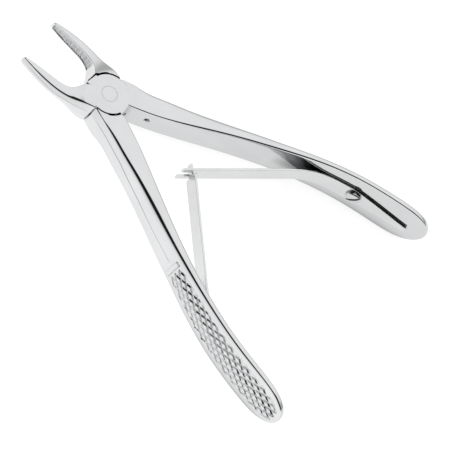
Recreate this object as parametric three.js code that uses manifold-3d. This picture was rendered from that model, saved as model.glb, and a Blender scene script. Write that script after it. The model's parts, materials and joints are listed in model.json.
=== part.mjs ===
// Paediatric extraction forceps: two crossing steel levers on a flush riveted lap joint, held open by
// two interlocking leaf springs. Millimetres, +Z up along the pivot axis, +X along the bisector towards
// the handles. The origin is under the middle of the open forceps, at the undermost edge of the handles.
import * as THREE from 'three';
import { mergeVertices } from 'three/addons/utils/BufferGeometryUtils.js';
import Module from 'manifold-3d';

const wasm = await Module();
wasm.setup();

// ---- driving dimensions ----------------------------------------------------------------------------
const GAP = 0.3;                 // working clearance between neighbouring pieces
const BEAK_TIP_X = -26.1;        // along the bisector, from the pivot axis
const HANDLE_END_X = 99.8;
const JOINT_RADIUS = 6.25;       // round cheek of the lap joint
const JOINT_HALF = 4.8;          // half thickness of the joint
const PIN_RADIUS = 2.5;          // riveted pivot pin
const PAD_START_X = 46.8;        // collar where the gripping pad begins
const PAD_END_X = 96;
const PAD_RISE = 0.4;            // pad stands proud of the handle's outer face
const PAD_MARGIN = 1.3;          // smooth strip left along both edges of the pad
const PAD_HALF = 8.3;            // half height of the handle at its widest
const PAD_WIDEST_X = 84;
const END_ROUND_START_X = 90;    // the handle ends are rounded in the side view from here on
const END_HALF = 8;
const LEAF_THICKNESS = 0.85;     // spring strip
const FORK_HALF_WIDTH = 3.2;     // strip of the forked spring
const TONGUE_HALF_WIDTH = 2.6;   // strip of the tongued spring
const SEAT_END_HALF = 2.3;       // half width of either spring at its far end
const SEAT_END_X = 94;           // far end of a spring, screwed flat on its handle
const SEAT_START_X = 72;         // the spring leaves the handle here
const FLEX_X = 62;               // seat and blade part here, where the strip bends
const SCREW_X = 76;              // spring screw
const SCREW_HEAD_RADIUS = 2.55;
const SCREW_HEAD_HEIGHT = 1.4;
const SCREW_SLOT_WIDTH = 0.7;
const SCREW_SHANK_RADIUS = 1;
const SCREW_SHANK_DEPTH = 1.1;   // into the handle
const TONGUE_HALF = 1.1;         // narrow tongue that passes between the prongs
const NOTCH_LENGTH = 1.6;        // from the crossing of the strips back to slot end and shoulders
const PRONG_REACH = 3.8;         // prongs reach past the crossing
const TONGUE_REACH = 2.7;
const STUD_X = 13.6;             // small domed stud near the joint
const STUD_Z = 0.7;
const STUD_RADIUS = 0.95;
const STUD_SHANK_RADIUS = 0.6;
const STUD_HEIGHT = 0.6;
const STUD_SHANK_DEPTH = 1.5;
const CUT_DEPTH = 30;            // cutting bodies reach well past what they cut
const HOLE_RUN_UP = 3;           // and drilled holes start this far off the face

// Handle stations, lever with its handle on +Y: x, inner face y, thickness across, half height.
const HANDLE = [
  [6.75, 1.95, 7.5, 4.3], [13, 4.9, 6.9, 4.5], [20, 8.6, 6.05, 4.9], [34, 17.0, 4.35, 5.8],
  [48, 24.8, 3.15, 6.4], [62, 31.7, 2.25, 7.5], [76, 36.8, 1.9, 8.1], [90, 40.0, 1.75, END_HALF],
  [HANDLE_END_X, 42.1, 1.6, 0],
];
// Beak stations, same lever, beak on -Y: x, inner face y, thickness across, half height.
const BEAK = [
  [BEAK_TIP_X, -7.9, 0.6, 1.35], [-22, -7.5, 1.65, 1.76], [-18, -7.15, 2.45, 1.95],
  [-12, -6.6, 2.85, 2.2], [-9, -5.5, 3.5, 2.6], [-6, -4.0, 4.45, 3.2],
];
const SHOULDER_X = -0.35;        // the two levers meet here, outside the joint cheek, when fully open
const SHOULDER_Y = 8.3;
const SHOULDER_HALF = 4.0;

// Crossing point of the two spring strips, and where each strip's straight blade meets its bend, both
// seen with that strip's own handle on +Y.
const FORK = { crossing: new THREE.Vector2(33.69, 1.76), bend: new THREE.Vector2(57, 26.4) };
const TONGUE = { crossing: new THREE.Vector2(33.69, -1.76), bend: new THREE.Vector2(58.2, 26.2) };

// ---- solids ----------------------------------------------------------------------------------------
function solid(geometry) {
  const bare = geometry.clone();
  bare.deleteAttribute('normal');
  bare.deleteAttribute('uv');
  const merged = mergeVertices(bare, 1e-5);
  return new wasm.Manifold(new wasm.Mesh({
    numProp: 3,
    vertProperties: new Float32Array(merged.attributes.position.array),
    triVerts: new Uint32Array(merged.index.array),
  }));
}

function geometryOf(body) {
  const mesh = body.getMesh();
  const geometry = new THREE.BufferGeometry();
  geometry.setAttribute('position', new THREE.BufferAttribute(mesh.vertProperties, 3));
  geometry.setIndex(new THREE.BufferAttribute(mesh.triVerts, 1));
  geometry.computeVertexNormals();
  return geometry;
}

const points = (pairs) => pairs.map(([x, y]) => new THREE.Vector2(x, y));

// Smooth run of points through the given stations.
function smooth(pairs, steps) {
  return new THREE.SplineCurve(points(pairs)).getPoints(steps);
}

// Plan outline raised between two heights.
function raised(outline, low, high) {
  const geometry = new THREE.ExtrudeGeometry(new THREE.Shape(outline), {
    depth: high - low, bevelEnabled: false, steps: 1,
  });
  return solid(geometry.translate(0, 0, low));
}

// Side view outline (x, z) spread along Y over the whole lever.
function sideways(outline) {
  const geometry = new THREE.ExtrudeGeometry(new THREE.Shape(outline), {
    depth: 4 * CUT_DEPTH, bevelEnabled: false, steps: 1,
  });
  return solid(geometry.rotateX(Math.PI / 2).translate(0, 2 * CUT_DEPTH, 0));
}

function drum(radius, low, high, segments = 48) {
  const geometry = new THREE.CylinderGeometry(radius, radius, high - low, segments);
  return solid(geometry.rotateX(Math.PI / 2).translate(0, 0, (low + high) / 2));
}

// ---- shape of one lever ----------------------------------------------------------------------------
const innerCurve = new THREE.SplineCurve(points(HANDLE));
const outerCurve = new THREE.SplineCurve(points(HANDLE.map(([x, y, width]) => [x, y + width])));

// Height of a handle curve over the bisector at a given x.
function heightAt(curve, x) {
  let low = 0;
  let high = 1;
  for (let i = 0; i < 40; i += 1) {
    const middle = (low + high) / 2;
    if (curve.getPoint(middle).x < x) low = middle;
    else high = middle;
  }
  return curve.getPoint(low).y;
}

const innerY = (x) => heightAt(innerCurve, x);
const outerY = (x) => heightAt(outerCurve, x);

function innerSlope(x) {
  return Math.atan2(innerY(x + 0.5) - innerY(x - 0.5), 1);
}

// Inward unit normal of the handle's inner face, towards the bisector.
function inward(x) {
  const slope = innerSlope(x);
  return new THREE.Vector2(Math.sin(slope), -Math.cos(slope));
}

function offFace(x, distance) {
  return new THREE.Vector2(x, innerY(x)).addScaledVector(inward(x), distance);
}

function handlePlan() {
  const inner = smooth(HANDLE.map(([x, y]) => [x, y]), 40);
  const outer = smooth([...HANDLE.map(([x, y, width]) => [x, y + width]).reverse(),
    [SHOULDER_X + GAP / 2, SHOULDER_Y]], 40);
  return [new THREE.Vector2(SHOULDER_X + GAP / 2, 0), ...inner, ...outer];
}

function beakPlan() {
  const inner = smooth(BEAK.map(([x, y]) => [x, y]).reverse(), 20);
  const outer = smooth([...BEAK.map(([x, y, width]) => [x, y - width]),
    [SHOULDER_X - GAP / 2, -SHOULDER_Y]], 24);
  return [new THREE.Vector2(SHOULDER_X - GAP / 2, 0), new THREE.Vector2(-6, 0), ...inner, ...outer];
}

// Half height of the lever seen from the side, from beak tip to rounded handle end.
function sideProfile(margin) {
  const handle = HANDLE.slice(0, -2).map(([x, , , half]) => [x, half]);
  const along = [...BEAK.map(([x, , , half]) => [x, half]), [0, SHOULDER_HALF], ...handle,
    [PAD_WIDEST_X, PAD_HALF], [END_ROUND_START_X, END_HALF]];
  const top = smooth(along, 60).map((p) => new THREE.Vector2(p.x, p.y - margin));
  const run = HANDLE_END_X - margin - END_ROUND_START_X;
  for (let i = 1; i < 12; i += 1) {
    const angle = (i / 12) * (Math.PI / 2);
    top.push(new THREE.Vector2(END_ROUND_START_X + run * Math.sin(angle),
      (END_HALF - margin) * Math.cos(angle)));
  }
  const bottom = top.map((p) => new THREE.Vector2(p.x, -p.y)).reverse();
  return [...top, new THREE.Vector2(HANDLE_END_X - margin, 0), ...bottom];
}

// Gripping pad: a low raised field on the handle's outer face with a square collar at its start.
function padPlan() {
  const root = [];
  const crown = [];
  for (let i = 0; i <= 18; i += 1) {
    const x = PAD_START_X + (PAD_END_X - PAD_START_X) * (i / 18);
    root.push(new THREE.Vector2(x, outerY(x) - PAD_RISE));
    crown.push(new THREE.Vector2(x, outerY(x) + PAD_RISE));
  }
  return [...root, ...crown.reverse()];
}

// Round hole square to the handle's inner face, open towards the bisector.
function hole(x, radius, depth, z = 0) {
  const start = offFace(x, HOLE_RUN_UP);
  const direction = inward(x).negate();
  const length = depth + HOLE_RUN_UP;
  const body = new THREE.CylinderGeometry(radius, radius, length, 24)
    .translate(0, length / 2, 0)
    .rotateZ(Math.atan2(direction.y, direction.x) - Math.PI / 2)
    .translate(start.x, start.y, z);
  return solid(body);
}

function leverSolid(withStud) {
  const outline = raised(handlePlan(), -CUT_DEPTH, CUT_DEPTH).add(raised(beakPlan(), -CUT_DEPTH, CUT_DEPTH));
  const pad = raised(padPlan(), -CUT_DEPTH, CUT_DEPTH).intersect(sideways(sideProfile(PAD_MARGIN)));
  let body = outline.intersect(sideways(sideProfile(0))).add(pad);
  body = body.add(drum(JOINT_RADIUS, 0, JOINT_HALF));
  body = body.subtract(drum(JOINT_RADIUS + GAP, -CUT_DEPTH, GAP / 2));
  body = body.subtract(drum(PIN_RADIUS + GAP, -CUT_DEPTH, CUT_DEPTH));
  body = body.subtract(hole(SCREW_X, SCREW_SHANK_RADIUS + GAP, SCREW_SHANK_DEPTH + GAP));
  if (withStud) body = body.subtract(hole(STUD_X, STUD_SHANK_RADIUS + GAP, STUD_SHANK_DEPTH + GAP, STUD_Z));
  return body;
}

// ---- springs ---------------------------------------------------------------------------------------
// Ribbon of the strip's thickness along a run of centre points.
function ribbon(centres, halfWidth) {
  const left = [];
  const right = [];
  centres.forEach((point, i) => {
    const before = centres[Math.max(i - 1, 0)];
    const after = centres[Math.min(i + 1, centres.length - 1)];
    const along = after.clone().sub(before).normalize();
    const across = new THREE.Vector2(-along.y, along.x).multiplyScalar(LEAF_THICKNESS / 2);
    left.push(point.clone().add(across));
    right.push(point.clone().sub(across));
  });
  return raised([...left, ...right.reverse()], -halfWidth, halfWidth);
}

const LEAF_LIFT = GAP + LEAF_THICKNESS / 2;
const bladeDirection = ({ crossing, bend }) => bend.clone().sub(crossing).normalize();

// Centre line from the blade's straight part through the wide bend to the seat on the handle.
function bendCurve(strip) {
  const seat = offFace(SEAT_START_X, LEAF_LIFT);
  const slope = innerSlope(SEAT_START_X);
  const reach = seat.distanceTo(strip.bend) * 0.4;
  const arrival = new THREE.Vector2(Math.cos(slope), Math.sin(slope)).multiplyScalar(reach);
  return new THREE.CubicBezierCurve(strip.bend,
    strip.bend.clone().addScaledVector(bladeDirection(strip), reach), seat.clone().sub(arrival), seat);
}

// The part of the bend on the seat's side (x above FLEX_X) or on the blade's side (x below).
function bendPoints(strip, onSeat) {
  const run = bendCurve(strip).getPoints(200);
  const kept = run.filter((p) => (onSeat ? p.x >= FLEX_X + GAP / 2 : p.x <= FLEX_X - GAP / 2));
  const step = Math.floor((kept.length - 1) / 7);
  const picked = kept.filter((p, i) => i % step === 0);
  if (picked[picked.length - 1] !== kept[kept.length - 1]) picked.push(kept[kept.length - 1]);
  return picked;
}

// The seat narrows evenly towards its far end.
function seatSolid(strip, halfWidth) {
  const centres = bendPoints(strip, true);
  for (let x = SEAT_START_X + 2; x <= SEAT_END_X; x += 2) centres.push(offFace(x, LEAF_LIFT));
  const taper = points([[FLEX_X - 4, -halfWidth], [SEAT_START_X, -halfWidth], [SEAT_END_X + 1, -SEAT_END_HALF],
    [SEAT_END_X + 1, SEAT_END_HALF], [SEAT_START_X, halfWidth], [FLEX_X - 4, halfWidth]]);
  return ribbon(centres, halfWidth)
    .intersect(sideways(taper))
    .subtract(hole(SCREW_X, SCREW_SHANK_RADIUS + GAP, 1));
}

function bladeCentres(strip, reach) {
  const tip = strip.crossing.clone().addScaledVector(bladeDirection(strip), -reach);
  return [tip, ...bendPoints(strip, false)];
}

// Box through a blade, between two distances along it and two heights, measured from the crossing.
function bladeCut(strip, from, to, low, high) {
  const along = bladeDirection(strip);
  const middle = strip.crossing.clone().addScaledVector(along, (from + to) / 2);
  const box = new THREE.BoxGeometry(to - from, 4, high - low)
    .rotateZ(Math.atan2(along.y, along.x))
    .translate(middle.x, middle.y, (low + high) / 2);
  return solid(box);
}

function forkBlade() {
  const half = TONGUE_HALF + GAP;
  return ribbon(bladeCentres(FORK, PRONG_REACH), FORK_HALF_WIDTH)
    .subtract(bladeCut(FORK, -2 * PRONG_REACH, NOTCH_LENGTH, -half, half));
}

function tongueBlade() {
  return ribbon(bladeCentres(TONGUE, TONGUE_REACH), TONGUE_HALF_WIDTH)
    .subtract(bladeCut(TONGUE, -2 * TONGUE_REACH, NOTCH_LENGTH, TONGUE_HALF, 2 * TONGUE_HALF_WIDTH))
    .subtract(bladeCut(TONGUE, -2 * TONGUE_REACH, NOTCH_LENGTH, -2 * TONGUE_HALF_WIDTH, -TONGUE_HALF));
}

// ---- fasteners -------------------------------------------------------------------------------------
// Solid of revolution about Y: a domed head whose underside is at height 0, on a plain shank.
function domed(headRadius, headHeight, shankRadius, shankLength) {
  const rim = 0.35 * headHeight;
  const profile = [[0, -shankLength], [shankRadius, -shankLength], [shankRadius, 0],
    [headRadius, 0], [headRadius, rim]];
  for (let i = 1; i < 6; i += 1) {
    const angle = (i / 6) * (Math.PI / 2);
    profile.push([headRadius * Math.cos(angle), rim + (headHeight - rim) * Math.sin(angle)]);
  }
  profile.push([0, headHeight]);
  return solid(new THREE.LatheGeometry(points(profile), 32));
}

// Stands a fastener made along Y square on the handle's inner face, its head towards the bisector.
function standing(body, x, rest, z) {
  const direction = inward(x);
  const foot = offFace(x, rest);
  return geometryOf(body)
    .rotateZ(Math.atan2(direction.y, direction.x) - Math.PI / 2)
    .translate(foot.x, foot.y, z);
}

function springScrew() {
  const rest = 2 * GAP + LEAF_THICKNESS;
  const slot = new THREE.BoxGeometry(3 * SCREW_HEAD_RADIUS, SCREW_HEAD_HEIGHT, SCREW_SLOT_WIDTH)
    .translate(0, SCREW_HEAD_HEIGHT, 0);
  const body = domed(SCREW_HEAD_RADIUS, SCREW_HEAD_HEIGHT, SCREW_SHANK_RADIUS, rest + SCREW_SHANK_DEPTH)
    .subtract(solid(slot));
  return standing(body, SCREW_X, rest, 0);
}

function studGeometry() {
  const body = domed(STUD_RADIUS, STUD_HEIGHT, STUD_SHANK_RADIUS, GAP + STUD_SHANK_DEPTH);
  return standing(body, STUD_X, GAP, STUD_Z);
}

// ---- assembly --------------------------------------------------------------------------------------
function piece(name, geometry, colour, roughness) {
  const material = new THREE.MeshStandardMaterial({ color: colour, roughness, metalness: 1 });
  const mesh = new THREE.Mesh(geometry, material);
  mesh.name = name;
  return mesh;
}

const STEEL = 0xd4d7da;
const SPRING_STEEL = 0xdcdedf;
const SCREW_STEEL = 0xbfc2c5;

const upper = new THREE.Group();
upper.add(
  piece('upper_lever', geometryOf(leverSolid(true)), STEEL, 0.12),
  piece('fork_spring_seat', geometryOf(seatSolid(FORK, FORK_HALF_WIDTH)), SPRING_STEEL, 0.2),
  piece('fork_spring_blade', geometryOf(forkBlade()), SPRING_STEEL, 0.2),
  piece('fork_spring_screw', springScrew(), SCREW_STEEL, 0.15),
  piece('stop_stud', studGeometry(), SCREW_STEEL, 0.15),
);

// The lower lever, its spring and its screw are drawn the same way and turned half round about X.
const lower = new THREE.Group();
lower.rotation.x = Math.PI;
lower.add(
  piece('lower_lever', geometryOf(leverSolid(false)), STEEL, 0.12),
  piece('tongue_spring_seat', geometryOf(seatSolid(TONGUE, TONGUE_HALF_WIDTH)), SPRING_STEEL, 0.2),
  piece('tongue_spring_blade', geometryOf(tongueBlade()), SPRING_STEEL, 0.2),
  piece('tongue_spring_screw', springScrew(), SCREW_STEEL, 0.15),
);

const pin = piece('pivot_pin', geometryOf(drum(PIN_RADIUS, -JOINT_HALF, JOINT_HALF, 40)), SCREW_STEEL, 0.15);

const forceps = new THREE.Group();
forceps.add(upper, lower, pin);
forceps.position.set(-(BEAK_TIP_X + HANDLE_END_X) / 2, 0, PAD_HALF);

export default forceps;
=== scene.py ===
"""Looks of the paediatric extraction forceps: two polished levers on a lap joint, two leaf springs,
their screws, the pivot pin and the small stud. Shapes are worked out in millimetres from the pivot
axis, with the upper lever's handle on +Y, and then moved into the row frame in metres."""

import json
import math

import bmesh
import bpy
import numpy as np
from mathutils import Matrix, Vector


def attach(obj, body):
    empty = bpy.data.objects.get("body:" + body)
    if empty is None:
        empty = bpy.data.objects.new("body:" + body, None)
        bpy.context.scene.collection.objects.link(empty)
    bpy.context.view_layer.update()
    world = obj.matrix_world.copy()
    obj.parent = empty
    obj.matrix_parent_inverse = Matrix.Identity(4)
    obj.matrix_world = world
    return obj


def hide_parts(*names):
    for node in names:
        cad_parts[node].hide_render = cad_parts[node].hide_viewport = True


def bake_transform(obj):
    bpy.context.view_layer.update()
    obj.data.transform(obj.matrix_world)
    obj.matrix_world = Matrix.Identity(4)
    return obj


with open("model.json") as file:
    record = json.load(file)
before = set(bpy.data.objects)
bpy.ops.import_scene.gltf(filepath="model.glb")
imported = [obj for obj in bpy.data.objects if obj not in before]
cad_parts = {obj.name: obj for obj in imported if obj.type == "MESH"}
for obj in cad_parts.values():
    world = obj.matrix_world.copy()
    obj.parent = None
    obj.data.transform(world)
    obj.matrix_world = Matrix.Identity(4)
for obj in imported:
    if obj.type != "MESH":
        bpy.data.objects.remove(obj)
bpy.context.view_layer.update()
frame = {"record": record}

MM = 0.001
PIVOT = Vector(
    next(j for j in frame["record"]["behaviour"]["joints"] if j["name"] == "handle_pivot")["pos_m"]
)
TO_ROW = Matrix.Translation(PIVOT) @ Matrix.Scale(MM, 4)
UPPER = TO_ROW
LOWER = TO_ROW @ Matrix.Rotation(math.pi, 4, "X")

# ---- sizes in millimetres, angles in degrees -------------------------------------------------------
JOINT_HALF = 4.8
JOINT_RADIUS = 6.35
RECESS_RADIUS = 6.8
CHEEK_GAP = 0.05
PIN_RADIUS = 2.5

# Angles run round the pivot axis from the handle's side. The cheek's lobes reach out to a nearly
# straight wall, given as its distance from the axis and its lean.
BEAK_LOBE = (164, 199)
BEAK_WALL = (6.92, -0.16)
HANDLE_LOBE = (338, 14.5)
HANDLE_WALL = (6.6, 0.03)
HANDLE_LOBE_MOST = 7.0
# The recess is open where the limbs leave it. Its pockets, each (depth, last angle, run), clear the
# other lever's corners when the handles are closed.
RECESS_OPEN = 11.0
BEAK_OPENING = (150, 197.6)
HANDLE_OPENING = (330, 13.6)
HANDLE_POCKETS_BELOW = 70
HANDLE_POCKETS = [(1.0, 22, 5), (0.25, 60, 6)]
BEAK_POCKETS_ABOVE = 190
BEAK_POCKETS = [(0.45, 208, 9), (0.24, 234, 6)]
WEB_OUTLINE = [(-0.45, 5.9), (1.0, 5.9), (1.0, 7.4), (-0.45, 7.0)]
WEB_LEVELS = (0.6, 4.0)

# Handle in plan: its inner and outer outline, then its half height, all as (x, value).
INNER = [(-0.2, 0.0), (3.2, 0.75), (6.7, 1.72), (7.8, 2.2), (9.7, 3.08), (13, 4.62), (20, 8.35),
         (34, 16.85), (48, 24.75), (62, 31.6), (76, 36.45), (90, 39.45), (99.8, 41.6)]
OUTER = [(-2, 6.3), (-0.2, 7.05), (1.7, 7.75), (4.2, 8.65), (6.75, 9.45), (9.3, 10.4), (13, 12.0),
         (20, 14.95), (34, 21.55), (48, 27.95), (62, 33.85), (76, 38.4), (90, 41.35), (99.8, 43.3)]
HALF = [(-0.2, 4.79), (3, 4.79), (6.5, 4.79), (9, 4.72), (13, 4.72), (20, 4.98), (34, 5.8),
        (48, 6.45), (62, 7.5), (76, 8.15), (84, 8.3), (92, 8.3)]
END_START = 84.0
END_X = 99.8
END_POWER = 3.4

BEAK_INNER = [(0.6, 5.0), (2.8, 3.0), (5.3, 1.5), (6.75, 1.35), (7.25, 2.3), (7.9, 3.6),
              (8.7, 4.8), (9.8, 5.75), (12, 6.6), (15, 6.98), (18, 7.2), (22, 7.5), (26.1, 7.9)]
BEAK_OUTER = [(0.6, 7.0), (1.6, 7.4), (2.8, 7.85), (4.0, 8.2), (5.2, 8.5), (6.6, 8.8),
              (8.0, 9.05), (9.6, 9.3), (12, 9.6), (15, 9.75), (18, 9.65), (22, 9.2), (26.1, 8.5)]
# Half height of the beak by distance from the axis, its reach across counted at BEAK_SQUASH.
BEAK_HALF = [(3, 4.79), (5, 4.79), (6.4, 4.74), (7.4, 4.32), (8.4, 3.78), (9.5, 3.25),
             (10.75, 2.76), (12, 2.5), (13.4, 2.34), (15, 2.25), (17, 2.17), (19.5, 2.06),
             (23, 1.86), (27.4, 1.48)]
BEAK_SQUASH = 0.8
BEAK_END = 26.1
BEAK_END_RUN = 1.3
TOOTH_PITCH = 0.8
TOOTH_DEPTH = 0.22

PAD_START = 48.2
COLLAR_WIDTH = 1.5
COLLAR_EDGE = 0.15
PAD_RISE = 0.4
PAD_MARGIN = 2.7
DIAMOND_LONG = 3.8
DIAMOND_HIGH = 2.55
DIAMOND_SHIFT = 1.9
GROOVE_HALF = 0.58
GROOVE_DEPTH = 0.48
GROOVE_FADE = 1.5

# Springs: thickness, gap under the seat, half widths, and how far the seat dips off the middle.
LEAF = 0.7
LEAF_EDGE = 0.1
FLUSH = 0.06
FORK_HALF = 3.2
TONGUE_STRIP_HALF = 3.0
SEAT_END_HALF = 1.15
SEAT_END = 93.0
SEAT_START = 72.0
SEAT_DIP = [(62, 0.0), (75.2, -0.45), (93.0, -1.4)]
SCREW_Z = -0.45
# Where a spring crosses the other one, and where its straight blade meets the bend.
FORK = ((33.69, 1.76), (57.0, 26.4))
TONGUE = ((33.69, -1.76), (58.2, 26.2))
PRONG_REACH = 3.8
TONGUE_REACH = 2.7
SLOT_HALF = 1.35
TONGUE_HALF = 1.1
NOTCH = 1.5
SCREW_X = 75.2
SCREW_RADIUS = 2.45
SLOT_TURN = -45
STUD_X, STUD_Z, STUD_RADIUS = 13.7, 0.1, 0.95
BEND_FROM, BEND_TO = 70.5, 53.5

# ---- looks and studio, lengths in metres -----------------------------------------------------------
# Reach of the occlusion term that paints shade into the steel's colour in nooks.
NOOK_REACH = 0.005
FLOOR = 1.5
FLOOR_GLOW = 1.1
GLOW_SLOPE = (-0.4, -0.92, 0)
GLOW_REACH = 0.06
GLOW_STOPS = [(0.15, 0.78), (0.35, 0.98), (0.45, 0.98), (0.75, 0.8)]
# Sky brightness by height, from -1 below to 1 overhead: behind the object, before it, and the hazy
# part before it, which lies between the headings in HAZE_SIDES.
SKY_STRENGTH = 1.22
SKY_BEHIND = [(-0.03, 0.8), (0.0, 0.44), (0.3, 0.5), (0.5, 0.86), (0.82, 0.97)]
SKY_BEFORE = [(-0.03, 0.8), (0.0, 0.01), (0.84, 0.01), (0.93, 0.95)]
SKY_HAZE = [(-0.03, 0.8), (0.0, 0.6), (0.22, 0.5), (0.29, 0.01), (0.84, 0.01), (0.93, 0.95)]
HAZE_SIDES = [(-0.9, 0.0), (-0.8, 1.0), (0.22, 1.0), (0.42, 0.0)]
FRONT_TURN = (0.25, -0.35)
BACKDROP = 0.97


# ---- curves ----------------------------------------------------------------------------------------
def spline(stations):
    """Natural cubic curve through (x, value) stations, as a function of x."""
    data = np.array(stations, float)
    xs, ys = data[:, 0], data[:, 1]
    n = len(xs)
    gap = np.diff(xs)
    system, right = np.eye(n), np.zeros(n)
    for i in range(1, n - 1):
        system[i, i - 1 : i + 2] = gap[i - 1], 2 * (gap[i - 1] + gap[i]), gap[i]
        right[i] = 3 * ((ys[i + 1] - ys[i]) / gap[i] - (ys[i] - ys[i - 1]) / gap[i - 1])
    bend = np.linalg.solve(system, right)

    def value(x):
        x = np.asarray(x, float)
        i = np.clip(np.searchsorted(xs, x) - 1, 0, n - 2)
        d = x - xs[i]
        slope = (ys[i + 1] - ys[i]) / gap[i] - gap[i] * (2 * bend[i] + bend[i + 1]) / 3
        return ys[i] + slope * d + bend[i] * d**2 + (bend[i + 1] - bend[i]) / (3 * gap[i]) * d**3

    return value


def ease(x):
    x = np.clip(x, 0, 1)
    return x * x * (3 - 2 * x)


def easing(stations):
    """Smooth steps between (x, value) stations, flat at each of them, with no overshoot."""
    data = np.array(stations, float)

    def value(x):
        x = np.clip(np.asarray(x, float), data[0, 0], data[-1, 0])
        i = np.clip(np.searchsorted(data[:, 0], x) - 1, 0, len(data) - 2)
        part = (x - data[i, 0]) / (data[i + 1, 0] - data[i, 0])
        return data[i, 1] + (data[i + 1, 1] - data[i, 1]) * ease(part)

    return value


inner_y, outer_y, half_height = spline(INNER), spline(OUTER), spline(HALF)
beak_axis = [p[0] for p in BEAK_OUTER]
beak_ax = spline([(t, p[0]) for t, p in zip(beak_axis, BEAK_INNER)])
beak_ay = spline([(t, p[1]) for t, p in zip(beak_axis, BEAK_INNER)])
beak_by = spline(BEAK_OUTER)
beak_half = spline(BEAK_HALF)


def inner_slope(t):
    return np.arctan2(inner_y(t + 0.05) - inner_y(t - 0.05), 0.1)


def handle_plan(t):
    """Inner point, direction outwards and thickness of the handle at station t."""
    t = np.asarray(t, float)
    turn = inner_slope(t) * ease((t + 0.2) / 12)
    across = np.stack([-np.sin(turn), np.cos(turn)], -1)
    start = np.stack([t, inner_y(t)], -1)
    width = np.full(t.shape, 5.0)
    for _ in range(30):
        width = (outer_y(start[..., 0] + width * across[..., 0]) - start[..., 1]) / across[..., 1]
    return start, across, width


def beak_plan(t):
    t = np.asarray(t, float)
    start = np.stack([beak_ax(t), beak_ay(t)], -1)
    run = np.stack([t, beak_by(t)], -1) - start
    width = np.linalg.norm(run, axis=-1)
    return start, run / width[..., None], width


# ---- one limb of a lever ---------------------------------------------------------------------------
def outline_normals(line):
    along = np.gradient(line, axis=0)
    normal = np.stack([-along[:, 1], along[:, 0]], -1)
    normal /= np.linalg.norm(normal, axis=1)[:, None]
    normal[-1] = 1, 0
    return normal


def even(line, count):
    """Points of a polyline at even distances along it."""
    run = np.concatenate([[0], np.cumsum(np.linalg.norm(np.diff(line, axis=0), axis=1))])
    at = np.linspace(0, run[-1], count)
    return np.stack([np.interp(at, run, line[:, 0]), np.interp(at, run, line[:, 1])], -1)


def limb(line, plan, top, inner_fillet, outer_fillet, facet_tilt, crease, ledge, counts, relief,
         hollow):
    """Rings of points round a limb. line is its side outline (station, half height) from root to tip,
    where both sides meet. Each ring is an inner face, a fillet, the top, a fillet and a ridged outer
    face, and the same again below."""
    normals = outline_normals(line)
    rings = []
    face_count, facet_count, band_count = counts
    for (t, half), (nx, nz) in zip(line, normals):
        _, _, width = plan(t)
        ri = min(inner_fillet(t), 0.32 * width)
        ro = min(outer_fillet(t), 0.5 * width)
        tilt = math.radians(float(facet_tilt(t)))
        turn = np.linspace(math.pi / 2, 0, 6)
        s_in, off_in = ri - ri * np.sin(turn), ri * (1 - np.cos(turn))
        lane = np.array([0.03, 0.25, 0.5, 0.75, 0.97])
        s_top = ri + (width - ri - ro) * lane
        turn = np.linspace(0, math.pi / 2 - tilt, 11)
        s_out, off_out = width - ro + ro * np.sin(turn), ro * (1 - np.cos(turn))
        s = np.concatenate([s_in, s_top, s_out])
        off = np.concatenate([off_in, np.zeros(len(lane)), off_out])
        station = t - off * nx
        start, across, _ = plan(station)
        rim = start + across * s[:, None]
        z = top(t, half, rim) - off * nz
        z = np.maximum(z, 0)

        q = np.linspace(0, 1, face_count + 1)[:-1]
        q[-1] = 0.5 + 0.5 * q[-1] if face_count < 10 else q[-1]
        z_face = z[0] * q
        s_face = hollow(station[0], z_face, z[0])
        face = start[0] + across[0] * s_face[:, None]

        low = min(float(crease(t)), 0.45 * z[-1])
        q = np.linspace(0, 1, facet_count + 1)[1:]
        z_facet = z[-1] - (z[-1] - low) * q
        s_facet = s[-1] + math.tan(tilt) * (z[-1] - z_facet)
        step = min(float(ledge(t)), 0.2 * low)
        part = np.linspace(1, 0, band_count)
        under = low - 1.7 * step
        z_band = np.concatenate([[low - 0.35 * step, low - 1.35 * step], under * part])
        arch = 0.25 * math.tan(tilt) * low
        inset = np.concatenate([[0.2 * step, 0.8 * step], step + arch * (1 - part**2)])
        s_band = s_facet[-1] + inset
        z_out = np.concatenate([z_facet, z_band])
        s_outer = np.concatenate([s_facet, s_band]) + relief(station[-1], z_out)
        outer = start[-1] + across[-1] * s_outer[:, None]

        upper = np.concatenate([
            np.column_stack([face, z_face]),
            np.column_stack([rim, z]),
            np.column_stack([outer, z_out]),
        ])
        lower = upper[-2:0:-1] * (1, 1, -1)
        rings.append(np.concatenate([upper, lower]))
    return chamfered(np.array(rings))


def chamfered(rings, deep=0.26, low=0.18):
    """The same rings with the edge of the first one bevelled."""
    first = rings[0]
    middle = first.mean(axis=0)
    arm = first - middle
    inset = first - arm / np.linalg.norm(arm, axis=1)[:, None] * low
    along = rings[1] - first
    gone = np.linalg.norm((rings - first).mean(axis=1), axis=1) < deep * 1.2
    gone[0] = True
    full = first + along / np.linalg.norm(along, axis=1).mean() * deep
    return np.concatenate([inset[None], full[None], rings[~gone]])


def lofted(rings, name, capped=False, turn=None):
    """Closed mesh through the rings. Without a cap, the last ring has to lie flat on the middle
    plane, where it is welded shut."""
    count, around, _ = rings.shape
    index = np.arange(count * around).reshape(count, around)
    beside = np.roll(index, -1, axis=1)
    quads = np.stack([index[:-1], beside[:-1], beside[1:], index[1:]], -1).reshape(-1, 4)
    faces = [*quads.tolist(), index[0][::-1].tolist()]
    if capped:
        faces.append(index[-1].tolist())
    return built(rings.reshape(-1, 3).tolist(), faces, name, turn)


def built(verts, faces, name, turn=None):
    mesh = bpy.data.meshes.new(name)
    mesh.from_pydata(verts, [], faces)
    if turn is not None:
        mesh.transform(turn)
    return cleaned(mesh)


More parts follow.
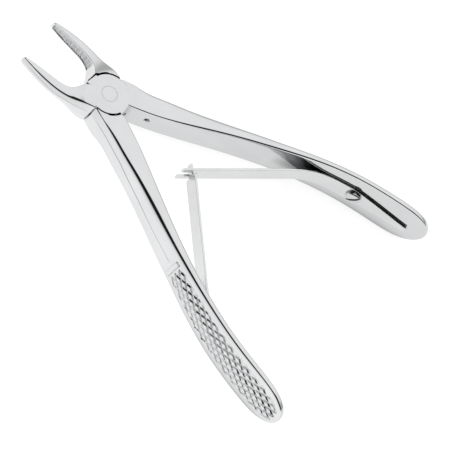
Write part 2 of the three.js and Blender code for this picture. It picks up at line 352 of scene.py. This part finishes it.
def cleaned(mesh, reach=2e-4):
    """The mesh with doubled points merged and its faces looking outwards."""
    work = bmesh.new()
    work.from_mesh(mesh)
    bmesh.ops.remove_doubles(work, verts=work.verts, dist=reach)
    bmesh.ops.dissolve_degenerate(work, dist=1e-5, edges=work.edges)
    bmesh.ops.recalc_face_normals(work, faces=work.faces)
    work.to_mesh(mesh)
    work.free()
    return mesh


# ---- knurl, serrations -----------------------------------------------------------------------------
station_run = np.linspace(0, END_X, 2000)
outer_line = np.stack([station_run, outer_y(station_run)], -1)
outer_length = np.concatenate([[0], np.cumsum(np.linalg.norm(np.diff(outer_line, axis=0), axis=1))])


def side_height(t):
    t = np.asarray(t, float)
    part = np.clip((t - END_START) / (END_X - END_START), 0, 1)
    return np.where(t < END_START, half_height(np.minimum(t, END_START)),
                    half_height(END_START) * np.sqrt(np.maximum(0, 1 - part**END_POWER)))


def pad_relief(t, z):
    """How far the pad's collar stands off the handle's outer face, or its grooves cut below it."""
    if t < PAD_START - 0.6:
        return np.zeros(len(z))
    room = float(side_height(t)) - PAD_MARGIN
    collar_end = PAD_START + COLLAR_WIDTH
    if t < collar_end + 0.25:
        edge = min(ease((t - PAD_START) / COLLAR_EDGE), ease((collar_end - t) / COLLAR_EDGE))
        return PAD_RISE * edge * ease((room - np.abs(z)) / 0.2 + 0.5)
    u = float(np.interp(t, station_run, outer_length)) + DIAMOND_SHIFT
    a, b = u / DIAMOND_LONG + z / DIAMOND_HIGH, u / DIAMOND_LONG - z / DIAMOND_HIGH
    pitch = 1 / math.hypot(1 / DIAMOND_LONG, 1 / DIAMOND_HIGH)
    ca, cb = np.floor(a) + 0.5, np.floor(b) + 0.5
    here = in_pad(ca, cb)
    beside_a = in_pad(2 * np.round(a) - ca, cb)
    beside_b = in_pad(ca, 2 * np.round(b) - cb)
    cut_a = (1 - np.abs(a - np.round(a)) * pitch / GROOVE_HALF) * (here | beside_a)
    cut_b = (1 - np.abs(b - np.round(b)) * pitch / GROOVE_HALF) * (here | beside_b)
    fade = ease((room + 0.9 - np.abs(z)) / GROOVE_FADE)
    return -GROOVE_DEPTH * fade * np.maximum(0, np.maximum(cut_a, cut_b))


def in_pad(ca, cb):
    """Whether the diamond centred at lattice place (ca, cb) lies inside the knurled outline."""
    cu, cz = DIAMOND_LONG * (ca + cb) / 2 - DIAMOND_SHIFT, DIAMOND_HIGH * (ca - cb) / 2
    ct = np.interp(cu, outer_length, station_run)
    inside = np.abs(cz) + 0.3 * DIAMOND_HIGH < side_height(ct + 0.8) - PAD_MARGIN * 0.8
    return inside & (ct > PAD_START + COLLAR_WIDTH + 1.0) & (ct < END_X - 2.0)


def no_relief(t, z):
    return np.zeros(len(z))


def flat_face(t, z, top):
    return np.zeros(len(z))


def beak_hollow(t, z, top):
    """Depth of the beak's inner face: a shallow hollow with cross-cut serrations inside a plain rim."""
    if t < 7.4:
        return np.zeros(len(z))
    rim = max(top - 0.25, 0.05)
    inside = ease((rim - np.abs(z)) / 0.25) * ease((t - 8.3) / 1.2) * ease((BEAK_END - 0.7 - t) / 0.4)
    a, b = (t + 0.9 * z) / TOOTH_PITCH, (t - 0.9 * z) / TOOTH_PITCH
    near = np.minimum(np.abs(a - np.round(a)), np.abs(b - np.round(b))) * 2
    dish = 0.12 + 0.13 * (1 - (z / max(top, 0.1)) ** 2)
    teeth = ease((t - 8.9) / 0.4) * TOOTH_DEPTH * (1 - np.minimum(near / 0.7, 1))
    return inside * (dish + teeth)


# ---- lever -----------------------------------------------------------------------------------------
def handle_rings():
    root = np.concatenate([np.linspace(-0.2, 8, 24)[:-1], np.linspace(8, PAD_START - 0.7, 64)[:-1]])
    pad = np.arange(PAD_START - 0.7, END_START, 0.14)
    ts = np.concatenate([root, pad])
    line = np.stack([ts, half_height(ts)], -1)
    part = 1 - (1 - np.linspace(0, 1, 4000)) ** 2
    end = np.stack([END_START + (END_X - END_START) * part,
                    side_height(END_START + (END_X - END_START) * part)], -1)
    end[-1, 1] = 0
    end = even(end, 130)
    line = np.concatenate([line, end[1:] if abs(line[-1, 0] - END_START) < 1e-6 else end])
    return limb(
        line, handle_plan,
        top=lambda t, half, rim: np.full(len(rim), half),
        inner_fillet=easing([(5, 0.3), (12, 0.42), (30, 0.7), (50, 0.8), (62, 0.7), (76, 0.55),
                             (99, 0.45)]),
        outer_fillet=easing([(-0.2, 0.7), (3, 0.45), (14, 1.46), (34, 2.07), (48, 1.46),
                             (62, 1.16), (97, 0.66)]),
        facet_tilt=easing([(-0.2, 14), (5, 9), (14, 8), (34, 6.5), (48, 4), (84, 3), (98, 1.5)]),
        crease=easing([(-0.2, 4.3), (1.7, 3.9), (6.5, 3.2), (13, 2.0), (27, 0.9), (39, 0.5),
                       (60, 0.6)]),
        ledge=easing([(0.5, 0.02), (5, 0.13), (20, 0.19), (45, 0.19), (47.8, 0.0)]),
        counts=(6, 44, 8), relief=pad_relief, hollow=flat_face,
    )


def beak_rings():
    ts = np.concatenate([np.linspace(0.6, 9, 34)[:-1], np.linspace(9, BEAK_END - BEAK_END_RUN, 130)])
    line = np.stack([ts, np.ones(len(ts))], -1)
    part = 1 - (1 - np.linspace(0, 1, 2000)) ** 2
    end = np.stack([BEAK_END - BEAK_END_RUN + BEAK_END_RUN * part, np.sqrt(1 - part**2.6)], -1)
    end[-1, 1] = 0
    end = even(end, 26)
    line = np.concatenate([line, end[1:]])

    def top(t, half, rim):
        return half * beak_half(np.hypot(rim[:, 0], BEAK_SQUASH * rim[:, 1]))

    return limb(
        line, beak_plan, top,
        inner_fillet=easing([(0.5, 0.2), (12, 0.22), (26, 0.12)]),
        outer_fillet=easing([(0.5, 0.45), (3, 0.6), (8, 1.0), (18, 0.85), (23, 0.55), (26, 0.3)]),
        facet_tilt=easing([(0.5, 14), (5, 14), (12, 15), (20, 14), (26, 8)]),
        crease=easing([(0.5, 4.0), (3, 2.7), (6.6, 1.1), (12.6, 0.35), (19.4, 0.8), (26, 0.7)]),
        ledge=easing([(1, 0.0), (5, 0.09), (22, 0.09), (25, 0.0)]),
        counts=(34, 10, 4), relief=no_relief, hollow=beak_hollow,
    )


def hide(obj):
    bpy.data.objects.remove(obj)


def temporary(mesh):
    obj = bpy.data.objects.new(mesh.name, mesh)
    bpy.context.scene.collection.objects.link(obj)
    return obj


def combined(base, operation, tool):
    """Mesh of base with tool added or cut away."""
    first, second = temporary(base), temporary(tool)
    modifier = first.modifiers.new("join", "BOOLEAN")
    modifier.operation, modifier.object, modifier.solver = operation, second, "EXACT"
    depsgraph = bpy.context.evaluated_depsgraph_get()
    result = bpy.data.meshes.new_from_object(first.evaluated_get(depsgraph))
    hide(first)
    hide(second)
    return result


def prism(levels, name):
    """Solid through outlines of equally many points, one for each level (outline, z)."""
    verts, faces = [], []
    for outline, z in levels:
        verts += [(x, y, z) for x, y in outline]
    n = len(levels[0][0])
    for k in range(len(levels) - 1):
        for i in range(n):
            j = (i + 1) % n
            faces.append((k * n + i, k * n + j, (k + 1) * n + j, (k + 1) * n + i))
    faces += [tuple(range(n - 1, -1, -1)), tuple((len(levels) - 1) * n + i for i in range(n))]
    return built(verts, faces, name)


def polar(radius, count=144):
    angles = np.arange(count) * 2 * math.pi / count
    return [(radius(a) * math.cos(a), radius(a) * math.sin(a)) for a in angles]


def circle(radius, count=96):
    return polar(lambda a: radius, count)


def wall_radius(angle, x, lean):
    """Distance from the axis to a nearly straight wall crossing the X axis at x."""
    return x / abs(math.cos(angle) + lean * math.sin(angle))


def cheek_radius(inset=0.0):
    def radius(angle):
        degrees = math.degrees(angle)
        base = JOINT_RADIUS
        if BEAK_LOBE[0] < degrees < BEAK_LOBE[1]:
            base = max(base, wall_radius(angle, *BEAK_WALL))
        if degrees > HANDLE_LOBE[0] or degrees < HANDLE_LOBE[1]:
            base = max(base, min(wall_radius(angle, *HANDLE_WALL), HANDLE_LOBE_MOST))
        return base - inset

    return radius


def recess_radius(angle):
    degrees = math.degrees(angle) % 360
    at_beak = BEAK_OPENING[0] < degrees < BEAK_OPENING[1]
    if at_beak or degrees > HANDLE_OPENING[0] or degrees < HANDLE_OPENING[1]:
        return RECESS_OPEN
    pockets = []
    if degrees < HANDLE_POCKETS_BELOW:
        pockets = HANDLE_POCKETS
    elif degrees > BEAK_POCKETS_ABOVE:
        pockets = BEAK_POCKETS
    radius = RECESS_RADIUS
    for depth, last, run in pockets:
        radius += depth * float(ease((last - degrees) / run))
    return radius


def lever_mesh():
    mesh = lofted(handle_rings(), "handle")
    beak = lofted(beak_rings(), "beak", turn=Matrix.Rotation(math.pi, 4, "Z"))
    joined = bmesh.new()
    joined.from_mesh(mesh)
    joined.from_mesh(beak)
    joined.to_mesh(mesh)
    joined.free()
    outline = polar(recess_radius, 720)
    mesh = combined(mesh, "DIFFERENCE", prism([(outline, -20), (outline, CHEEK_GAP)], "recess"))
    mesh = combined(mesh, "UNION", prism([(WEB_OUTLINE, z) for z in WEB_LEVELS], "web"))
    cheek = [(polar(cheek_radius(), 360), CHEEK_GAP + 0.01),
             (polar(cheek_radius(), 360), JOINT_HALF - 0.12),
             (polar(cheek_radius(0.035), 360), JOINT_HALF - 0.035),
             (polar(cheek_radius(0.12), 360), JOINT_HALF)]
    mesh = combined(mesh, "UNION", prism(cheek, "cheek"))
    bore = [(circle(PIN_RADIUS + 0.02), -20), (circle(PIN_RADIUS + 0.02), JOINT_HALF - 0.03),
            (circle(PIN_RADIUS + 0.035), JOINT_HALF + 0.02), (circle(PIN_RADIUS + 0.035), 20)]
    return combined(mesh, "DIFFERENCE", prism(bore, "bore"))


# ---- springs ---------------------------------------------------------------------------------------
def inward(t):
    slope = inner_slope(t)
    return np.stack([np.sin(slope), -np.cos(slope)], -1)


def off_face(t, distance):
    t = np.asarray(t, float)
    return np.stack([t, inner_y(t)], -1) + inward(t) * distance


def blade_frame(strip):
    """A blade's crossing point, the direction from its tip to its bend, and the one across it."""
    crossing, bend = np.array(strip[0]), np.array(strip[1])
    along = (bend - crossing) / np.linalg.norm(bend - crossing)
    return crossing, along, np.array([-along[1], along[0]])


def strip_centre(strip, reach, lift):
    """Centre line of a spring from its free tip to its far end on the handle."""
    crossing, along, _ = blade_frame(strip)
    bend = np.array(strip[1])
    tip = crossing - along * reach
    seat = off_face(SEAT_START, lift)
    slope = float(inner_slope(SEAT_START))
    pull = 0.4 * np.linalg.norm(seat - bend)
    arrival = seat - pull * np.array([math.cos(slope), math.sin(slope)])
    u = np.linspace(0, 1, 60)[:, None]
    arc = ((1 - u) ** 3 * bend + 3 * (1 - u) ** 2 * u * (bend + along * pull)
           + 3 * (1 - u) * u**2 * arrival + u**3 * seat)
    blade = tip + np.linspace(0, 1, 90)[:-1, None] * (bend - tip)
    rest = off_face(np.linspace(SEAT_START, SEAT_END + 0.6, 60)[1:], lift)
    return np.concatenate([blade, arc, rest])


def strip_mesh(strip, reach, half_width, name):
    lift = FLUSH + LEAF / 2
    centre = strip_centre(strip, reach, lift)
    along = np.gradient(centre, axis=0)
    along /= np.linalg.norm(along, axis=1)[:, None]
    side = np.stack([-along[:, 1], along[:, 0]], -1)
    x = centre[:, 0]
    taper = np.interp(x, [SEAT_START + 2, SEAT_END], [half_width, SEAT_END_HALF])
    half = np.where(x > SEAT_START + 2, taper, half_width)
    dip = np.interp(x, [p[0] for p in SEAT_DIP], [p[1] for p in SEAT_DIP])
    rings = []
    for point, normal, width, drop in zip(centre, side, half, dip):
        ring = []
        for sx, sz in ((1, 1), (-1, 1), (-1, -1), (1, -1)):
            turns = np.linspace(0, math.pi / 2, 4)
            if sx * sz < 0:
                turns = turns[::-1]
            for turn in turns:
                ring.append((sx * (LEAF / 2 - LEAF_EDGE + LEAF_EDGE * math.cos(turn)),
                             sz * (width - LEAF_EDGE + LEAF_EDGE * math.sin(turn))))
        ring = np.array(ring)
        flat = point + normal * ring[:, :1]
        rings.append(np.column_stack([flat, ring[:, 1] + drop]))
    return lofted(np.array(rings), name, capped=True)


def block(strip, start, end, low, high, name):
    """Box through a blade between two distances along it from the crossing, and two heights."""
    crossing, along, side = blade_frame(strip)
    corners = [(start, -3), (end, -3), (end, 3), (start, 3)]
    outline = [tuple(crossing + along * a + side * b) for a, b in corners]
    return prism([(outline, low), (outline, high)], name)


def slot_cutter(strip, end, half, name):
    """Cutter with rounded inner corners, open past the tip, standing square on the blade."""
    crossing, along, side = blade_frame(strip)
    corner = 0.35
    rounding = [(end - corner + corner * math.sin(t), half - corner * (1 - math.cos(t)))
                for t in (1.57, 1.0, 0.5)]
    profile = [(-9, -half), (end - corner, -half), *[(a, -z) for a, z in reversed(rounding)]]
    profile += [*rounding, (end - corner, half), (-9, half)]
    verts, n = [], len(profile)
    for level in (-3, 3):
        verts += [(*(crossing + along * a + side * level), z) for a, z in profile]
    faces = [(i, (i + 1) % n, n + (i + 1) % n, n + i) for i in range(n)]
    faces += [tuple(range(n - 1, -1, -1)), tuple(range(n, 2 * n))]
    return built(verts, faces, name)


def fork_mesh():
    strip = strip_mesh(FORK, PRONG_REACH, FORK_HALF, "fork")
    return combined(strip, "DIFFERENCE", slot_cutter(FORK, NOTCH, SLOT_HALF, "slot"))


def tongue_mesh():
    strip = strip_mesh(TONGUE, TONGUE_REACH, TONGUE_STRIP_HALF, "tongue")
    strip = combined(strip, "DIFFERENCE", block(TONGUE, -9, NOTCH, TONGUE_HALF, 6, "above"))
    return combined(strip, "DIFFERENCE", block(TONGUE, -9, NOTCH, -6, -TONGUE_HALF, "below"))


# ---- fasteners -------------------------------------------------------------------------------------
def turned(profile, name, segments=72):
    """Solid of revolution about +Z of an (r, z) profile that starts and ends on the axis."""
    verts, faces = [], []
    rows = profile[1:-1]
    for r, z in rows:
        for k in range(segments):
            angle = 2 * math.pi * k / segments
            verts.append((r * math.cos(angle), r * math.sin(angle), z))
    bottom, crown = len(verts), len(verts) + 1
    verts += [(0, 0, profile[0][1]), (0, 0, profile[-1][1])]
    for k in range(segments):
        j = (k + 1) % segments
        faces.append((bottom, j, k))
        last = (len(rows) - 1) * segments
        faces.append((crown, last + k, last + j))
        for i in range(len(rows) - 1):
            low, high = i * segments, (i + 1) * segments
            faces.append((low + k, low + j, high + j, high + k))
    return built(verts, faces, name)


def standing(t, lift, z):
    """Matrix that stands a piece made along +Z square on the handle's inner face."""
    direction = inward(t)
    axis = Vector((float(direction[0]), float(direction[1]), 0))
    across = Vector((0, 0, 1))
    along = across.cross(axis)
    foot = off_face(t, lift)
    turn = Matrix((
        (along.x, across.x, axis.x, float(foot[0])),
        (along.y, across.y, axis.y, float(foot[1])),
        (along.z, across.z, axis.z, z),
        (0, 0, 0, 1),
    ))
    return turn


def screw_mesh():
    r, rim, crown = SCREW_RADIUS, 0.55, 1.35
    profile = [(0, -0.4), (1.0, -0.4), (1.0, 0.0), (r - 0.12, 0.0), (r, 0.1), (r, rim)]
    for step in range(1, 13):
        angle = step / 12 * math.pi / 2
        profile.append((r * math.cos(angle) ** 0.8, rim + (crown - rim) * math.sin(angle)))
    profile[-1] = (0, crown)
    mesh = turned(profile, "screw")
    half, depth = 0.4, 0.8
    outline = [(-half, -4), (half, -4), (half, 4), (-half, 4)]
    wide = [(-half - 0.1, -4), (half + 0.1, -4), (half + 0.1, 4), (-half - 0.1, 4)]
    slot = prism([(outline, crown - depth), (outline, crown - 0.1), (wide, crown + 0.2)], "screw_slot")
    slot.transform(Matrix.Rotation(math.radians(SLOT_TURN), 4, "Z"))
    return combined(mesh, "DIFFERENCE", slot)


def stud_mesh():
    r, height = STUD_RADIUS, 0.6
    profile = [(0, -0.3), (r, -0.3), (r, 0.12)]
    for step in range(1, 9):
        angle = step / 8 * math.pi / 2
        profile.append((r * math.cos(angle), 0.12 + (height - 0.12) * math.sin(angle)))
    profile[-1] = (0, height)
    return turned(profile, "stud", 48)


def pin_mesh():
    r, h, edge = PIN_RADIUS - 0.01, JOINT_HALF - 0.003, 0.03
    profile = [(0, -h), (r - edge, -h), (r, -h + edge), (r, h - edge), (r - edge, h), (0, h)]
    return turned(profile, "pin", 96)


# ---- materials -------------------------------------------------------------------------------------
def node_material(name):
    material = bpy.data.materials.new(name)
    material.use_nodes = True
    tree = material.node_tree
    return material, tree, tree.nodes["Principled BSDF"]


def add(tree, kind, **values):
    node = tree.nodes.new(kind)
    for key, value in values.items():
        setattr(node, key, value)
    return node


def ranged(tree, source, start, end, low=0.0, high=1.0, **values):
    """The source's stretch from start to end, laid onto low to high."""
    node = add(tree, "ShaderNodeMapRange", **values)
    for socket, value in zip(("From Min", "From Max", "To Min", "To Max"), (start, end, low, high)):
        node.inputs[socket].default_value = value
    tree.links.new(source, node.inputs["Value"])
    return node.outputs["Result"]


def grey_ramp(tree, source, stops, interpolation="EASE"):
    """Greys between (place, value) stops."""
    ramp = add(tree, "ShaderNodeValToRGB")
    ramp.color_ramp.interpolation = interpolation
    for k, (position, value) in enumerate(stops):
        element = ramp.color_ramp.elements[k] if k < 2 else ramp.color_ramp.elements.new(position)
        element.position = position
        element.color = (value, value, value, 1)
    tree.links.new(source, ramp.inputs["Fac"])
    return ramp.outputs["Color"]


def steel(name, tint, shade, roughness, spread, stretch, scratch, wear, nook_shade):
    """Polished stainless steel: cloudy tone with painted shade, as an occlusion node darkens the
    colour in nooks down to nook_shade, fine polishing lines along the piece, and rougher edges where it
    is worn."""
    material, tree, shader = node_material(name)
    link = tree.links.new
    shader.inputs["Metallic"].default_value = 1.0
    shader.inputs["IOR"].default_value = 2.5
    place = add(tree, "ShaderNodeTexCoord")
    scale = add(tree, "ShaderNodeMapping")
    scale.inputs["Scale"].default_value = stretch
    link(place.outputs["Object"], scale.inputs["Vector"])
    lines = add(tree, "ShaderNodeTexNoise")
    lines.inputs["Scale"].default_value = 900
    lines.inputs["Detail"].default_value = 6
    lines.inputs["Roughness"].default_value = 0.6
    link(scale.outputs["Vector"], lines.inputs["Vector"])
    cloud = add(tree, "ShaderNodeTexNoise")
    cloud.inputs["Scale"].default_value = 110
    cloud.inputs["Detail"].default_value = 4
    link(place.outputs["Object"], cloud.inputs["Vector"])
    tone = add(tree, "ShaderNodeValToRGB")
    tone.color_ramp.elements[0].position, tone.color_ramp.elements[1].position = 0.3, 0.7
    tone.color_ramp.elements[0].color, tone.color_ramp.elements[1].color = (*shade, 1), (*tint, 1)
    link(cloud.outputs["Fac"], tone.inputs["Fac"])
    # Painted shade: the occlusion term darkens the base colour in nooks and between parts, where shade
    # falls.
    nook = add(tree, "ShaderNodeAmbientOcclusion")
    nook.samples = 8
    nook.inputs["Distance"].default_value = NOOK_REACH
    shadow = ranged(tree, nook.outputs["AO"], 0.25, 0.85, nook_shade, 1.0)
    tone_with_painted_shade = add(tree, "ShaderNodeVectorMath", operation="SCALE")
    link(tone.outputs["Color"], tone_with_painted_shade.inputs[0])
    link(shadow, tone_with_painted_shade.inputs["Scale"])
    link(tone_with_painted_shade.outputs["Vector"], shader.inputs["Base Color"])
    edge = add(tree, "ShaderNodeNewGeometry")
    worn = ranged(tree, edge.outputs["Pointiness"], 0.52, 0.62, 0.0, wear)
    gloss = ranged(tree, lines.outputs["Fac"], 0.25, 0.75, roughness, roughness + spread)
    total = add(tree, "ShaderNodeMath", operation="ADD")
    link(gloss, total.inputs[0])
    link(worn, total.inputs[1])
    link(total.outputs["Value"], shader.inputs["Roughness"])
    bump = add(tree, "ShaderNodeBump")
    bump.inputs["Strength"].default_value = scratch
    bump.inputs["Distance"].default_value = 0.00002
    link(lines.outputs["Fac"], bump.inputs["Height"])
    link(bump.outputs["Normal"], shader.inputs["Normal"])
    return material


def floor_material():
    """Pale board that glows, its glow changing over GLOW_REACH along GLOW_SLOPE."""
    material, tree, shader = node_material("pale_floor")
    shader.inputs["Roughness"].default_value = 0.85
    shader.inputs["Specular IOR Level"].default_value = 0.1
    shader.inputs["Emission Strength"].default_value = FLOOR_GLOW
    place = add(tree, "ShaderNodeTexCoord")
    grain = add(tree, "ShaderNodeTexNoise")
    grain.inputs["Scale"].default_value = 40
    tree.links.new(place.outputs["Object"], grain.inputs["Vector"])
    tone = add(tree, "ShaderNodeValToRGB")
    tone.color_ramp.elements[0].color = (0.3, 0.3, 0.3, 1)
    tone.color_ramp.elements[1].color = (0.32, 0.32, 0.32, 1)
    tree.links.new(grain.outputs["Fac"], tone.inputs["Fac"])
    tree.links.new(tone.outputs["Color"], shader.inputs["Base Color"])
    across = add(tree, "ShaderNodeVectorMath", operation="DOT_PRODUCT")
    across.inputs[1].default_value = GLOW_SLOPE
    tree.links.new(place.outputs["Object"], across.inputs[0])
    reach = ranged(tree, across.outputs["Value"], 0.0, GLOW_REACH)
    tree.links.new(grey_ramp(tree, reach, GLOW_STOPS), shader.inputs["Emission Color"])
    return material


# ---- pieces ----------------------------------------------------------------------------------------
def finished(mesh, name, place, material, sharp=30):
    mesh = mesh.copy()
    mesh.name = name
    mesh.transform(place)
    if place.determinant() < 0:
        mesh.flip_normals()
    mesh.materials.clear()
    mesh.materials.append(material)
    mesh.polygons.foreach_set("use_smooth", [True] * len(mesh.polygons))
    mesh.polygons.foreach_set("material_index", [0] * len(mesh.polygons))
    mesh.set_sharp_from_angle(angle=math.radians(sharp))
    obj = bpy.data.objects.new(name, mesh)
    bpy.context.scene.collection.objects.link(obj)
    even_out = obj.modifiers.new("flat faces stay flat", "WEIGHTED_NORMAL")
    even_out.keep_sharp = True
    even_out.weight = 80
    return obj


lever_steel = steel("lever_steel_polished", tint=(0.635, 0.64, 0.645), shade=(0.6, 0.605, 0.612),
                    roughness=0.07, spread=0.05, stretch=(0.25, 1.0, 1.0), scratch=0.12,
                    wear=0.06, nook_shade=0.3)
spring_steel = steel("spring_steel_polished", tint=(0.67, 0.675, 0.68), shade=(0.635, 0.64, 0.645),
                     roughness=0.12, spread=0.07, stretch=(0.3, 1.0, 1.0), scratch=0.15,
                     wear=0.05, nook_shade=0.75)
screw_steel = steel("screw_steel_turned", tint=(0.62, 0.625, 0.63), shade=(0.56, 0.565, 0.57),
                    roughness=0.08, spread=0.06, stretch=(1.0, 1.0, 1.0), scratch=0.1,
                    wear=0.05, nook_shade=0.5)
pin_steel = steel("pin_steel_ground", tint=(0.635, 0.64, 0.645), shade=(0.605, 0.61, 0.617),
                  roughness=0.09, spread=0.05, stretch=(1.0, 1.0, 1.0), scratch=0.1,
                  wear=0.05, nook_shade=0.3)

lever = lever_mesh()
screw, stud = screw_mesh(), stud_mesh()
screw_stand = standing(SCREW_X, FLUSH + LEAF, SCREW_Z)

upper_lever = finished(lever, "upper_lever_forged", UPPER, lever_steel)
lower_lever = finished(lever, "lower_lever_forged", LOWER, lever_steel)
fork_spring = finished(fork_mesh(), "fork_spring_leaf", UPPER, spring_steel)
tongue_spring = finished(tongue_mesh(), "tongue_spring_leaf", LOWER, spring_steel)
fork_screw = finished(screw, "fork_screw_slotted", UPPER @ screw_stand, screw_steel)
tongue_screw = finished(screw, "tongue_screw_slotted", LOWER @ screw_stand, screw_steel)
stop_stud = finished(stud, "stop_stud_domed", UPPER @ standing(STUD_X, 0, STUD_Z), screw_steel)
pivot_pin = finished(pin_mesh(), "pivot_pin_flush", UPPER, pin_steel)

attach(upper_lever, "upper_body")
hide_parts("upper_lever")
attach(lower_lever, "lower_body")
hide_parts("lower_lever")
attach(fork_screw, "upper_body")
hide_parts("fork_spring_screw")
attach(tongue_screw, "lower_body")
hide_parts("tongue_spring_screw")
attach(stop_stud, "upper_body")
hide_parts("stop_stud")
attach(pivot_pin, "lower_body")
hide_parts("pivot_pin")


def on_strip(strip, t, place):
    """Point of a spring's centre line at station t, in the row frame."""
    line = strip_centre(strip, 0, FLUSH + LEAF / 2)
    y = float(np.interp(t, line[:, 0], line[:, 1]))
    return tuple(place @ Vector((t, y, 0)))


on_strip(FORK, BEND_FROM, UPPER)
on_strip(FORK, BEND_TO, UPPER)
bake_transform(fork_spring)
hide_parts("fork_spring_seat", "fork_spring_blade")
on_strip(TONGUE, BEND_FROM, LOWER)
on_strip(TONGUE, BEND_TO, LOWER)
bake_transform(tongue_spring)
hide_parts("tongue_spring_seat", "tongue_spring_blade")

# ---- studio ----------------------------------------------------------------------------------------
floor_mesh = bpy.data.meshes.new("floor")
floor_corners = [(-FLOOR, -FLOOR, 0), (FLOOR, -FLOOR, 0), (FLOOR, FLOOR, 0), (-FLOOR, FLOOR, 0)]
floor_mesh.from_pydata(floor_corners, [], [(0, 1, 2, 3)])
floor_mesh.materials.append(floor_material())
floor = bpy.data.objects.new("floor", floor_mesh)
bpy.context.scene.collection.objects.link(floor)


def signed_ramp(tree, source, stops, interpolation="EASE"):
    """Greys between stops placed from -1 to 1, read at a source laid onto 0 to 1."""
    return grey_ramp(tree, source, [((x + 1) / 2, value) for x, value in stops], interpolation)


world = bpy.data.worlds.new("studio")
bpy.context.scene.world = world
world.use_nodes = True
tree = world.node_tree
sky = tree.nodes["Background"]
direction = add(tree, "ShaderNodeTexCoord")
split = add(tree, "ShaderNodeSeparateXYZ")
tree.links.new(direction.outputs["Generated"], split.inputs["Vector"])
height = ranged(tree, split.outputs["Z"], -1, 1)
level = add(tree, "ShaderNodeVectorMath", operation="MULTIPLY")
level.inputs[1].default_value = (1, 1, 0)
tree.links.new(direction.outputs["Generated"], level.inputs[0])
unit = add(tree, "ShaderNodeVectorMath", operation="NORMALIZE")
tree.links.new(level.outputs["Vector"], unit.inputs[0])
heading = add(tree, "ShaderNodeSeparateXYZ")
tree.links.new(unit.outputs["Vector"], heading.inputs["Vector"])
front = ranged(tree, heading.outputs["Y"], *FRONT_TURN, interpolation_type="SMOOTHSTEP")
behind = signed_ramp(tree, height, SKY_BEHIND)
before = signed_ramp(tree, height, SKY_BEFORE)
haze = signed_ramp(tree, height, SKY_HAZE)
side = signed_ramp(tree, ranged(tree, heading.outputs["X"], -1, 1), HAZE_SIDES, "LINEAR")
low_front = add(tree, "ShaderNodeMix", data_type="RGBA")
tree.links.new(side, low_front.inputs["Factor"])
tree.links.new(before, low_front.inputs[6])
tree.links.new(haze, low_front.inputs[7])
blend = add(tree, "ShaderNodeMix", data_type="RGBA")
tree.links.new(front, blend.inputs["Factor"])
tree.links.new(behind, blend.inputs[6])
tree.links.new(low_front.outputs[2], blend.inputs[7])
tree.links.new(blend.outputs[2], sky.inputs["Color"])
sky.inputs["Strength"].default_value = SKY_STRENGTH
# Seen directly, the world is a plain backdrop. What lights the steel and mirrors in it is the sky.
backdrop = add(tree, "ShaderNodeBackground")
backdrop.inputs["Color"].default_value = (BACKDROP, BACKDROP, BACKDROP, 1)
seen = add(tree, "ShaderNodeLightPath")
choice = add(tree, "ShaderNodeMixShader")
tree.links.new(seen.outputs["Is Camera Ray"], choice.inputs["Fac"])
tree.links.new(sky.outputs["Background"], choice.inputs[1])
tree.links.new(backdrop.outputs["Background"], choice.inputs[2])
tree.links.new(choice.outputs["Shader"], tree.nodes["World Output"].inputs["Surface"])

sun_data = bpy.data.lights.new("softbox_above", "SUN")
sun_data.energy = 0.5
sun_data.angle = math.radians(60)
sun = bpy.data.objects.new("softbox_above", sun_data)
bpy.context.scene.collection.objects.link(sun)
sun.rotation_euler = (math.radians(12), math.radians(-8), 0)
sun.visible_glossy = False

# The camera's place, in millimetres from the pivot, and its turn were fitted to the photograph.
CAMERA_AT = Vector((-66.09, -991.76, 1419.32))
CAMERA_RIGHT = Vector((0.7400653, 0.5217719, 0.42433175))
CAMERA_DOWN = Vector((0.66912435, -0.63471449, -0.38653606))
camera_data = bpy.data.cameras.new("camera")
camera_data.sensor_width = 36
camera_data.lens = 471.1
camera_data.clip_start, camera_data.clip_end = 0.1, 20
camera = bpy.data.objects.new("camera", camera_data)
bpy.context.scene.collection.objects.link(camera)
right, up = CAMERA_RIGHT.normalized(), -CAMERA_DOWN.normalized()
back = right.cross(up).normalized()
turn = Matrix((right, up, back)).transposed().to_4x4()
camera.matrix_world = Matrix.Translation(PIVOT + CAMERA_AT * MM) @ turn
bpy.context.scene.camera = camera
bpy.context.scene.view_settings.view_transform = "Standard"

bpy.context.view_layer.update()
